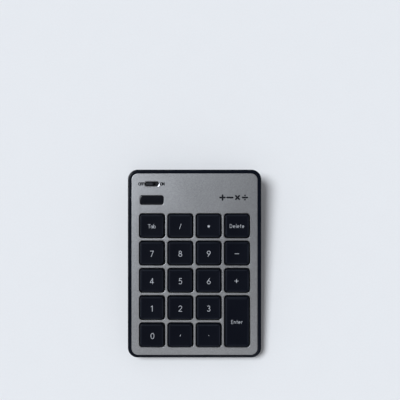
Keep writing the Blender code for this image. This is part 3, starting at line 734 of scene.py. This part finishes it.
def build_controls():
    """Slide switch with a ribbed knob, and the smoked window."""
    box = deck_box("power_switch")
    center, size = middle(box), extent(box)
    top = box[1].z
    shoulder = top - 1.5 * MM
    corner = 1.1 * MM
    stem = mm(1.6, 1.0, 0.2)
    loops = [rounded_rect(*stem, z, center, 6) for z in (box[0].z, shoulder)]
    loops.append(rounded_rect(size.x, size.y, corner, shoulder, center, 6))
    for inset, z in rounding((0.0, top - 0.35 * MM), (0.35 * MM, top - 0.12 * MM), 4):
        loops.append(rounded_rect(size.x - 2 * inset, size.y - 2 * inset, corner - inset, z,
                                  center, 6))
    base = loft("slide_knob", loops)
    ribs = []
    rib_pitch = 0.85 * MM
    for index in range(4):
        x = center.x + (index - 1.5) * rib_pitch
        rib = [rounded_rect(*mm(0.42, 1.7, 0.2), z, (x, center.y), 5)
               for z in (top - 0.4 * MM, top - 0.06 * MM)]
        rib.append(rounded_rect(*mm(0.24, 1.5, 0.11), top, (x, center.y), 5))
        ribs.append((loft(f"rib_{index}", rib), "UNION", LEVEL))
    mesh = carved("slide_knob", base, ribs)
    # The rib tops take the lighter, glossier edge tint.
    mark_wear_and_sheen(mesh, lambda co: 1.0 if co.z > top - 0.05 * MM else 0.0)
    place("slide_knob", mesh, DECK, switch_black, "power_switch",
          ["power_switch"])

    box = deck_box("led_window")
    center = middle(box)
    low, top = box[0].z, box[1].z
    flange_top = low + 0.8 * MM
    flange = mm(17.1, 7.3, 1.5)
    lens_w, lens_d, lens_r = mm(15.75, 5.95, 1.45)
    loops = [rounded_rect(*flange, z, center) for z in (low, flange_top)]
    loops.append(rounded_rect(lens_w, lens_d, lens_r, flange_top, center))
    for inset, z in rounding((0.0, top - 0.3 * MM), (0.35 * MM, top - 0.05 * MM), 4):
        loops.append(rounded_rect(lens_w - 2 * inset, lens_d - 2 * inset, lens_r - inset, z,
                                  center))
    for share, rise in ((0.35, 0.02), (0.7, 0.04), (0.95, 0.05)):    # slightly domed face
        width, depth = 15.0 * MM - share * 5 * MM, 5.2 * MM * (1 - share)
        z = top - 0.05 * MM + rise * MM
        loops.append(rounded_rect(width, depth, depth * 0.25, z, center))
    place("window_lens", loft("window_lens", loops), DECK, smoke, "root",
          ["led_window"])


# Case

def foot_recess(node, low):
    """Cutter for the shallow pocket that a rear foot sits in."""
    box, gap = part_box(node), 0.3 * MM
    outlines = [rounded_rect(box[1].x - box[0].x + 2 * gap, box[1].y - box[0].y + 2 * gap,
                             FOOT_R + 0.2 * MM, z, middle(box)) for z in (0, low + 0.4 * MM)]
    return loft("foot_recess", outlines)


def build_case():
    """Tray with its rim, battery hump, and everything cut into the underside."""
    plate = deck_box("top_cover")
    floor_top = deck_box("support_plate")[0].z - 0.9 * MM
    low = floor_top - 1.2 * MM
    rim_top = plate[1].z - 0.45 * MM
    wide, deep = extent(plate).x, extent(plate).y
    center = middle(plate)
    tray_center = (center.x, center.y + (RIM - FRONT_RIM) / 2)
    profile = []
    for inset, z in rounding((0.0, low + 1.3 * MM), (1.5 * MM, low), 7)[::-1]:
        profile.append((inset, z))
    for inset, z in rounding((0.0, rim_top - 0.5 * MM), (0.25 * MM, rim_top), 6):
        profile.append((inset, z))
    loops = []
    for inset, z in profile:
        loops.append(rounded_rect(wide + 2 * (RIM - inset), deep + RIM + FRONT_RIM - 2 * inset,
                                  TRAY_R - inset, z, tray_center, 14))
    ledge = plate[1].z - 1.6 * MM
    inside = ((0.35 * MM, rim_top), (0.22 * MM, rim_top - 0.12 * MM), (0.22 * MM, ledge),
              (-0.7 * MM, ledge), (-0.7 * MM, floor_top))
    for grow, z in inside:
        loops.append(rounded_rect(wide + 2 * grow, deep + 2 * grow, PLATE_R + grow, z, center,
                                  14))
    tray = loft("tray", loops)

    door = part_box("battery_cover")
    hump_low = door[0].z
    hump_rear = door[1].y + 1.5 * MM
    hump_front = door[0].y - 1.5 * MM
    hump_half = 41.3 * MM
    loops = []
    hump_depth = hump_rear - hump_front
    hump_middle = (hump_rear + hump_front) / 2
    for inset, z in rounding((0.0, hump_low + 0.9 * MM), (0.9 * MM, hump_low), 6)[::-1]:
        loops.append(rounded_rect(2 * (hump_half - inset), hump_depth - 2 * inset,
                                  3.4 * MM - inset * 0.5, z, (0, hump_middle), 12))
    lean, flare = mm(2.0, 0.5)
    top = rounded_rect(2 * (hump_half + flare), hump_depth + lean + flare, 3.4 * MM, 0,
                       (0, hump_middle - (lean - flare) / 2), 12)
    rise = (low + 0.6 * MM) / math.cos(SLOPE)
    loops.append([(x, y, y * math.tan(SLOPE) + rise) for x, y, _ in top])
    hump = loft("hump", loops)

    tools = [(hump, "UNION", LEVEL)]
    pitch = middle(deck_box("key_2")).x - middle(deck_box("key_1")).x
    rib_half, rib_front, rib_rear = mm(0.7, -54, 26)
    for x in (-pitch, pitch):
        rib = box_mesh("rib", (x - rib_half, center.y + rib_front, floor_top - 0.3 * MM),
                       (x + rib_half, center.y + rib_rear, floor_top + 0.6 * MM))
        tools.append((rib, "UNION", DECK))
    foot = deck_box("front_foot")
    gap = 0.3 * MM
    foot_low = (foot[0].x - gap, foot[0].y - gap, low - 3 * MM)
    foot_high = (foot[1].x + gap, middle(foot).y + 2.5 * MM, low + 0.6 * MM)
    tools.append((box_mesh("foot_recess", foot_low, foot_high), "DIFFERENCE", DECK))
    for screw in ("screw_left", "screw_right"):
        spot = middle(deck_box(screw))
        pad = turned("pad", [(2.2 * MM, low + 0.8 * MM), (2.2 * MM, low + 1.9 * MM)], 32,
                     center=spot)
        sink = turned("sink", [(2.0 * MM, low - 1 * MM), (1.9 * MM, low + 0.1 * MM),
                               (1.75 * MM, low + 0.25 * MM), (1.75 * MM, low + 1.0 * MM)], 32,
                      center=spot)
        hole = turned("hole", [(0.95 * MM, low + 0.5 * MM), (0.95 * MM, low + 2.5 * MM)], 24,
                      center=spot)
        tools += [(pad, "UNION", DECK), (sink, "DIFFERENCE", DECK), (hole, "DIFFERENCE", DECK)]
    beyond = hump_half + 3 * MM
    bay_x = (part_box("contact_negative")[0].x - gap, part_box("contact_bridge")[1].x + gap)
    bay_y = (door[0].y + 0.9 * MM, door[1].y - 0.9 * MM)
    board = middle(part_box("main_board"))
    pocket_x, pocket_y, pocket_floor, pocket_top = mm(10.5, 9.0, 1.8, 11.8)
    cuts = [
        ("bay", (bay_x[0], bay_y[0], 2 * MM), (bay_x[1], bay_y[1], 13 * MM)),
        ("door_slot", (door[0].x - gap, bay_y[0] - gap, 0),
         (beyond, bay_y[1] + gap, door[1].z + gap)),
        ("grooves", (door[0].x - gap, door[0].y - gap, door[1].z - 1.0 * MM),
         (beyond, door[1].y + gap, door[1].z + gap)),
        ("board_pocket", (board.x - pocket_x, board.y - pocket_y, hump_low + pocket_floor),
         (board.x + pocket_x, board.y + pocket_y, hump_low + pocket_top)),
    ]
    for name, start, end in cuts:
        tools.append((box_mesh(name, start, end), "DIFFERENCE", LEVEL))
    button = middle(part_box("pairing_button"))
    tools.append((turned("button_hole", [(2.6 * MM, 0.0), (2.6 * MM, hump_low),
                                         (2.2 * MM, hump_low + 0.35 * MM), (2.2 * MM, 4 * MM)],
                         48, center=button), "DIFFERENCE", LEVEL))
    tools.append((foot_recess("rear_foot_left", hump_low), "DIFFERENCE", LEVEL))
    mesh = carved("case_tray", tray, tools, DECK)
    limit = low + 0.9 * MM
    under = [polygon.center.z < limit for polygon in mesh.polygons]
    edges = ((rim_top - 0.1 * MM, 0.13 * MM), (low, 0.2 * MM))
    # Lighter, rougher edges along the rim's top and the base: edge wear.
    mark_wear_and_sheen(mesh, lambda co: max(max(0.0, 0.8 - abs(co.z - z) / span) for z, span in edges))
    mesh.transform(DECK)
    place("case_tray", mesh, LEVEL, case_black, "root", ["bottom_case"])
    mesh.materials.append(case_satin)
    for polygon, is_under in zip(mesh.polygons, under):
        polygon.material_index = int(is_under)


def build_door():
    """Sliding battery door with a ribbed thumb grip and an arrow."""
    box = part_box("battery_cover")
    low, high = box[0].z, box[1].z
    front, rear = box[0].y + 0.9 * MM, box[1].y - 0.9 * MM
    step = high - 0.7 * MM
    edge = 0.25 * MM

    def section(x, lift, squeeze):
        outline = [(front + edge + squeeze, low + lift), (rear - edge - squeeze, low + lift),
                   (rear - squeeze, low + edge + lift), (rear - squeeze, step),
                   (box[1].y - squeeze, step), (box[1].y - squeeze, high),
                   (box[0].y + squeeze, high), (box[0].y + squeeze, step),
                   (front + squeeze, step), (front + squeeze, low + edge + lift)]
        return [(x, y, z) for y, z in outline]

    slices = [section(box[0].x, 0.15 * MM, 0.1 * MM), section(box[0].x + 0.15 * MM, 0, 0)]
    start = (box[1].x - 0.6 * MM, low)
    for share in (0.0, 0.25, 0.5, 0.75, 1.0):
        angle = share * math.pi / 2
        x = start[0] + 0.6 * MM * math.sin(angle)
        slices.append(section(x, 0.6 * MM * (1 - math.cos(angle)), 0.12 * MM * share))
    base = loft("battery_door", slices)
    tools = [(foot_recess("rear_foot_right", low), "DIFFERENCE", LEVEL)]
    middle_y = (front + rear) / 2 - 3.4 * MM
    for index in range(6):
        x = box[1].x - (4.0 + 1.6 * index) * MM
        groove = [rounded_rect(0.9 * MM, 9.0 * MM, 0.44 * MM, low - 0.2 * MM, (x, middle_y), 5),
                  rounded_rect(0.8 * MM, 8.9 * MM, 0.39 * MM, low + 0.1 * MM, (x, middle_y), 5),
                  rounded_rect(0.5 * MM, 8.6 * MM, 0.24 * MM, low + 0.35 * MM, (x, middle_y), 5)]
        tools.append((loft(f"grip_{index}", groove), "DIFFERENCE", LEVEL))
    tip = box[1].x - 15.5 * MM
    triangle = [(tip, middle_y), (tip - 3.2 * MM, middle_y + 2.0 * MM),
                (tip - 3.2 * MM, middle_y - 2.0 * MM)]
    arrow = [[(x, y, z) for x, y in triangle] for z in (low - 0.2 * MM, low + 0.2 * MM)]
    tools.append((loft("arrow", arrow), "DIFFERENCE", LEVEL))
    mesh = carved("battery_door", base, tools)
    place("battery_door", mesh, LEVEL, case_satin, "battery_cover",
          ["battery_cover"])


def foot_mesh(name, box, slope):
    """Rubber foot with a rounded lower edge; its top falls towards the front with slope."""
    center, size = middle(box), extent(box)
    loops = []
    for inset, z in rounding((0.0, 0.35 * MM), (0.35 * MM, 0.0), 4)[::-1]:
        loops.append(rounded_rect(size.x - 2 * inset, size.y - 2 * inset, FOOT_R - inset, z,
                                  center, 8))
    top = rounded_rect(size.x, size.y, FOOT_R, 0, center, 8)
    loops.append([(x, y, box[1].z - (box[1].y - y) * math.tan(slope)) for x, y, _ in top])
    return loft(name, loops)


def build_feet():
    feet = (("rear_foot_left", "pad_left", "root", 0.0),
            ("rear_foot_right", "pad_right", "battery_cover", 0.0),
            ("front_foot", "front_strip", "root", SLOPE))
    for node, name, body, slope in feet:
        place(name, foot_mesh(name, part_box(node), slope), LEVEL, rubber, body,
              [node])


def build_fasteners():
    for node in ("screw_left", "screw_right"):
        box = deck_box(node)
        spot = middle(box)
        low = box[0].z
        profile = [(0.5 * MM, low), (0.95 * MM, low + 0.05 * MM), (1.25 * MM, low + 0.17 * MM),
                   (1.4 * MM, low + 0.36 * MM), (1.4 * MM, low + 0.65 * MM),
                   (0.65 * MM, low + 0.65 * MM), (0.65 * MM, box[1].z)]
        tools = []
        for wide, deep in ((1.5, 0.3), (0.3, 1.5)):
            size = Vector(mm(wide, deep)) / 2
            tools.append((box_mesh("recess", (spot.x - size.x, spot.y - size.y, low - 1 * MM),
                                   (spot.x + size.x, spot.y + size.y, low + 0.45 * MM)),
                          "DIFFERENCE", LEVEL))
        mesh = carved(node + "_head", turned(node, profile, 40, center=spot), tools)
        place(node + "_head", mesh, DECK, screw_steel, "root", [node])
    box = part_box("pairing_button")
    spot = middle(box)
    low = box[0].z
    flange = low + 1.9 * MM
    profile = [(0.4 * MM, low + 0.14 * MM), (1.0 * MM, low + 0.08 * MM), (1.5 * MM, low),
               (1.75 * MM, low + 0.1 * MM), (1.9 * MM, low + 0.35 * MM), (1.9 * MM, flange),
               (3.0 * MM, flange), (3.0 * MM, flange + 0.7 * MM), (1.2 * MM, flange + 0.7 * MM),
               (1.2 * MM, box[1].z)]
    place("push_button", turned("push_button", profile, 48, center=spot), LEVEL, button_grey,
          "pairing_button", ["pairing_button"])


def build_inside():
    """Better surfaces for the inner CAD pieces, and the cells."""
    finishes = {
        "support_plate": plate_steel, "membrane": film, "main_board": board_green,
        "switch_housing": switch_black, "status_led": led_white,
        "contact_positive": contact_steel, "contact_negative": contact_steel,
        "contact_bridge": contact_steel,
    }
    for node, material in finishes.items():
        slots = frame["nodes"][node].data.materials
        slots.clear()
        slots.append(material)

    for node, side in (("battery_front", -1), ("battery_rear", 1)):
        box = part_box(node)
        spot = middle(box)
        radius, length, nub = extent(box).y / 2, extent(box).x, 0.9 * MM
        body = length - nub
        band = body - 9 * MM
        profile = [(1.5 * MM, 0), (radius - 0.9 * MM, 0), (radius - 0.75 * MM, 0.25 * MM)]
        profile += [(radius - 0.2 * MM, 0.3 * MM), (radius, 0.6 * MM), (radius, band)]
        profile += [(radius, body - 0.6 * MM)]
        profile += [(radius - 0.2 * MM, body - 0.3 * MM), (radius - 0.9 * MM, body - 0.25 * MM)]
        profile += [(2.7 * MM, body - 0.25 * MM), (2.7 * MM, length - 0.15 * MM)]
        profile += [(2.5 * MM, length), (0.8 * MM, length)]
        mesh = turned("cell", profile, 48, axis="X")
        matrix = Matrix.Translation((spot.x - side * length / 2, spot.y, spot.z))
        if side < 0:
            matrix = matrix @ Matrix.Rotation(math.pi, 4, "Z")
        place("cell_" + node[8:], mesh, matrix, jacket, "root", [node])
        mesh.materials.append(contact_steel)
        mesh.materials.append(jacket_band)
        for polygon in mesh.polygons:
            x = polygon.center.x
            ring_r = math.hypot(polygon.center.y, polygon.center.z)
            if ring_r < radius - 0.5 * MM or x > body:
                polygon.material_index = 1
            elif x > band:
                polygon.material_index = 2


def build_key_mechanisms():
    """Scissor levers and rubber domes under the keys."""
    sheet_box = deck_box("dome_sheet")
    base = sheet_box[0].z
    center, size = middle(sheet_box), extent(sheet_box)
    sheet = [rounded_rect(size.x, size.y, 1.2 * MM, z, center) for z in (base, base + 0.25 * MM)]
    place("dome_base", loft("dome_base", sheet), DECK, silicone, "root",
          ["dome_sheet"])
    dome_top = sheet_box[1].z - base
    profile = [(3.1, 0.3), (2.75, 0.3), (2.7, 0.6), (0.95, dome_top / MM - 0.6),
               (0.3, dome_top / MM - 0.6)]
    outside = [(0.5, dome_top / MM), (1.2, dome_top / MM), (1.4, dome_top / MM - 0.15),
               (2.85, 0.75), (3.1, 0.5)]
    for joint in frame["joints"]:
        key = joint["name"][len("press_"):]
        if not joint["name"].startswith("press_") or key == "pairing_button":
            continue
        spot = middle(deck_box("key_" + key))
        points = [(radius * MM, base + height * MM) for radius, height in profile[::-1]]
        points += [(radius * MM, base + height * MM) for radius, height in outside[::-1]]
        dome = place("dome_" + key, turned("dome_" + key, points, 24, center=spot), DECK,
                     silicone, "root")
        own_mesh(dome)
        node = "scissor_" + key
        bm = bmesh.new()
        bm.from_mesh(frame["nodes"][node].data)
        bmesh.ops.remove_doubles(bm, verts=bm.verts, dist=WELD)
        levers = place("levers_" + key, finish_mesh(bm, "levers_" + key), LEVEL, lever_plastic,
                       "root", [node])
        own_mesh(levers)


# Studio

SKY = ((0.0, 0.79), (0.12, 0.70), (0.30, 0.46), (0.55, 0.33), (0.93, 0.048))   # (height, tone)
LIGHTS = (
    ("key_light", (-0.46, 0.19, 0.86), 30, 2.8, (0.92, 0.96, 1.0)),
    ("front_light", (0.05, -0.42, 0.90), 20, 0.12, (1, 1, 1)),
)


def build_studio():
    bpy.context.scene.view_settings.view_transform = "Standard"
    floor_bm = bmesh.new()
    bmesh.ops.create_grid(floor_bm, x_segments=2, y_segments=2, size=40.0)
    floor = bpy.data.objects.new("studio_floor", finish_mesh(floor_bm, "studio_floor"))
    bpy.context.scene.collection.objects.link(floor)
    floor.location = (0, 0, -0.05 * MM)
    floor.data.materials.append(surface("studio_paper", (0.80, 0.805, 0.82), 0.9, grain=800,
                                        bump=0.02, depth=0.02, tone=0.01, speck=0.01,
                                        blotch=0.02))

    world = bpy.data.worlds.new("studio")
    bpy.context.scene.world = world
    world.use_nodes = True
    nodes, links = world.node_tree.nodes, world.node_tree.links
    direction = nodes.new("ShaderNodeTexCoord")
    height = nodes.new("ShaderNodeSeparateXYZ")
    links.new(direction.outputs["Generated"], height.inputs[0])
    ramp = nodes.new("ShaderNodeValToRGB")
    ramp.color_ramp.interpolation = "EASE"
    stops = ramp.color_ramp.elements
    while len(stops) < len(SKY):
        stops.new(0.5)
    for stop, (rise, level) in zip(stops, SKY):
        stop.position = rise
        stop.color = (level, level * 1.02, level * 1.07, 1)
    links.new(height.outputs["Z"], ramp.inputs["Fac"])
    links.new(ramp.outputs["Color"], nodes["Background"].inputs["Color"])

    for name, direction, spread_angle, strength, color in LIGHTS:
        lamp = bpy.data.lights.new(name, "SUN")
        lamp.angle = math.radians(spread_angle)
        lamp.energy = strength
        lamp.color = color
        item = bpy.data.objects.new(name, lamp)
        bpy.context.scene.collection.objects.link(item)
        item.rotation_euler = (-Vector(direction)).to_track_quat("-Z", "Y").to_euler()


def build_camera():
    """Looks squarely down on the deck, past its middle towards the rear right."""
    lens = bpy.data.cameras.new("camera")
    lens.sensor_width = 36.0
    lens.lens = 60.37
    lens.clip_start = 0.01
    item = bpy.data.objects.new("camera", lens)
    bpy.context.scene.collection.objects.link(item)
    shift_x, shift_y, distance = mm(3.66, 43.05, 450)
    plate = deck_box("top_cover")
    center = middle(plate)
    item.location = DECK @ Vector((center.x + shift_x, center.y + shift_y,
                                   plate[1].z + distance))
    item.rotation_euler = (SLOPE, 0, 0)
    bpy.context.scene.camera = item


build_camera()
build_case()
build_plate()
build_keys()
build_controls()
build_door()
build_feet()
build_fasteners()
build_inside()
build_key_mechanisms()
build_studio()


bpy.context.view_layer.update()
